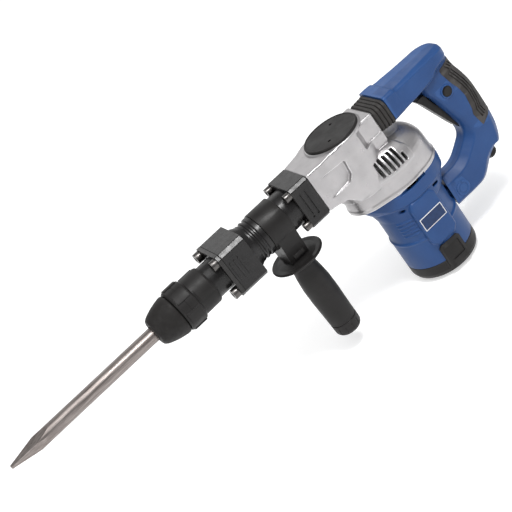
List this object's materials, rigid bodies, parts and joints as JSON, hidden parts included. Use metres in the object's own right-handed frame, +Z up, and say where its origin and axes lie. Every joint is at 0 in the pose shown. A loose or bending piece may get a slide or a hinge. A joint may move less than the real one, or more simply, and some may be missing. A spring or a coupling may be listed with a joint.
{
  "type": "electric demolition hammer",
  "caption": "Hand-held electric demolition hammer with a pointed chisel, side handle, vertical motor and sprung rear grip.",
  "frame": {"origin": "on the impact axis, in the mouth of the chuck where the chisel leaves it", "axes": "+X along the impact axis towards the chisel's point, +Z up and away from the motor, +Y towards the side with the lock button"},
  "size_m": [0.692, 0.095, 0.2291],
  "materials": {
    "chisel_steel": "dark forged steel with a ground point",
    "black_rubber": "soft matt rubber",
    "black_plastic": "fine-grained black moulding",
    "black_casting": "satin black powder coat over cast steel",
    "collar_black": "satin black moulding",
    "grip_black": "soft satin black grip",
    "bellows_rubber": "ribbed black rubber",
    "overmould_rubber": "grooved soft grip",
    "control_black": "smooth black moulding",
    "blue_plastic": "lightly textured mid blue moulding",
    "label_blue": "dark blue blank label with a pale border",
    "cast_aluminium": "silver painted cast aluminium",
    "zinc_steel": "zinc plated steel",
    "ground_steel": "ground steel",
    "piston_alloy": "machined alloy",
    "laminated_steel": "stacked laminations",
    "copper_wire": "enamelled copper, given as brass",
    "carbon": "carbon, given as cast iron"
  },
  "bodies": {
    "housing": {"dust_cap": "black_rubber", "tool_holder": "ground_steel", "front_housing": "black_casting", "front_screws": "zinc_steel", "recoil_ring": "black_rubber", "barrel": "black_casting", "barrel_screws": "zinc_steel", "cylinder_liner": "ground_steel", "crank_bearings": "ground_steel", "gear_housing": "cast_aluminium", "service_cap": "black_plastic", "bearing_plate": "cast_aluminium", "motor_bearings": "ground_steel", "field_core": "laminated_steel", "field_coils": "copper_wire", "brush_carrier": "black_plastic", "carbon_brushes": "carbon", "motor_housing": "blue_plastic", "label_plate": "label_blue", "end_cap": "black_plastic", "end_cap_screws": "zinc_steel", "sleeve_spring": "ground_steel", "bellows": "bellows_rubber", "damper_spring": "ground_steel", "pivot_pin": "zinc_steel"},
    "chisel": {"chisel": "chisel_steel"},
    "chuck_sleeve": {"locking_sleeve": "black_plastic", "cam_ring": "ground_steel"},
    "left_bar": {"locking_bar_left": "ground_steel"},
    "right_bar": {"locking_bar_right": "ground_steel"},
    "striker": {"beat_piece": "ground_steel"},
    "flying_ram": {"ram": "ground_steel", "ram_ring": "black_rubber"},
    "piston_set": {"piston": "piston_alloy", "piston_ring": "black_rubber", "rod_pins": "ground_steel", "connecting_rod": "piston_alloy"},
    "crank": {"crankshaft": "ground_steel", "crank_gear": "ground_steel"},
    "rotor": {"pinion": "ground_steel", "armature_shaft": "ground_steel", "armature_core": "laminated_steel", "armature_winding": "copper_wire", "commutator": "copper_wire", "cooling_fan": "black_plastic"},
    "side_handle": {"clamp_collar": "collar_black", "clamp_bolt": "zinc_steel", "hand_guard": "collar_black"},
    "side_grip": {"side_grip": "grip_black"},
    "rear_handle": {"rear_handle_left": "blue_plastic", "rear_handle_right": "blue_plastic", "grip_overmould": "overmould_rubber", "handle_screws": "zinc_steel", "switch": "black_plastic", "cable_gland": "black_rubber", "trigger_spring": "ground_steel"},
    "trigger": {"trigger": "control_black"},
    "lock_button": {"lock_button": "control_black"}
  },
  "joints": [
    {"name": "chisel_slide", "type": "slide", "parent": "housing", "child": "chisel", "axis": [1, 0, 0], "range_m": [-0.012, 0]},
    {"name": "sleeve_pull", "type": "slide", "parent": "housing", "child": "chuck_sleeve", "axis": [-1, 0, 0], "range_m": [0, 0.008], "stiffness_N_per_m": 1500, "springref_m": -0.006, "deforming": ["sleeve_spring"]},
    {"name": "left_bar_lift", "type": "slide", "parent": "housing", "child": "left_bar", "axis": [0, 1, 0], "range_m": [0, 0.0022]},
    {"name": "right_bar_lift", "type": "slide", "parent": "housing", "child": "right_bar", "axis": [0, -1, 0], "range_m": [0, 0.0022]},
    {"name": "striker_slide", "type": "slide", "parent": "housing", "child": "striker", "axis": [1, 0, 0], "range_m": [0, 0.009]},
    {"name": "ram_slide", "type": "slide", "parent": "housing", "child": "flying_ram", "axis": [1, 0, 0], "range_m": [-0.012, 0.013]},
    {"name": "piston_slide", "type": "slide", "parent": "housing", "child": "piston_set", "axis": [1, 0, 0], "range_m": [-0.024, 0]},
    {"name": "rotor_spin", "type": "hinge", "parent": "housing", "child": "rotor", "pos_m": [-0.33417, 0, -0.12], "axis": [0, 0, 1], "continuous": true},
    {"name": "crank_spin", "type": "hinge", "parent": "housing", "child": "crank", "pos_m": [-0.3023, 0, -0.03], "axis": [0, 0, 1], "continuous": true},
    {"name": "side_handle_swing", "type": "hinge", "parent": "housing", "child": "side_handle", "pos_m": [-0.181, 0, 0], "axis": [1, 0, 0], "continuous": true},
    {"name": "side_grip_twist", "type": "hinge", "parent": "side_handle", "child": "side_grip", "pos_m": [-0.184, 0, -0.11], "axis": [0, 0, 1], "range_deg": [-270, 0]},
    {"name": "rear_handle_tilt", "type": "hinge", "parent": "housing", "child": "rear_handle", "pos_m": [-0.394, 0, -0.13], "axis": [0, 1, 0], "range_deg": [-2, 2], "stiffness_Nm_per_rad": 420, "deforming": ["bellows", "damper_spring"]},
    {"name": "trigger_squeeze", "type": "hinge", "parent": "rear_handle", "child": "trigger", "pos_m": [-0.441, 0, -0.066], "axis": [0, -1, 0], "range_deg": [0, 7], "stiffness_Nm_per_rad": 2.5, "springref_deg": -6.88, "deforming": ["trigger_spring"]},
    {"name": "lock_button_press", "type": "slide", "parent": "rear_handle", "child": "lock_button", "axis": [0, -1, 0], "range_m": [0, 0.0035], "stiffness_N_per_m": 600, "springref_m": -0.002}
  ],
  "couplings": [
    {"joint": "left_bar_lift", "follows": "sleeve_pull", "ratio": 0.275},
    {"joint": "right_bar_lift", "follows": "sleeve_pull", "ratio": 0.275},
    {"joint": "crank_spin", "follows": "rotor_spin", "ratio": -0.18605}
  ]
}
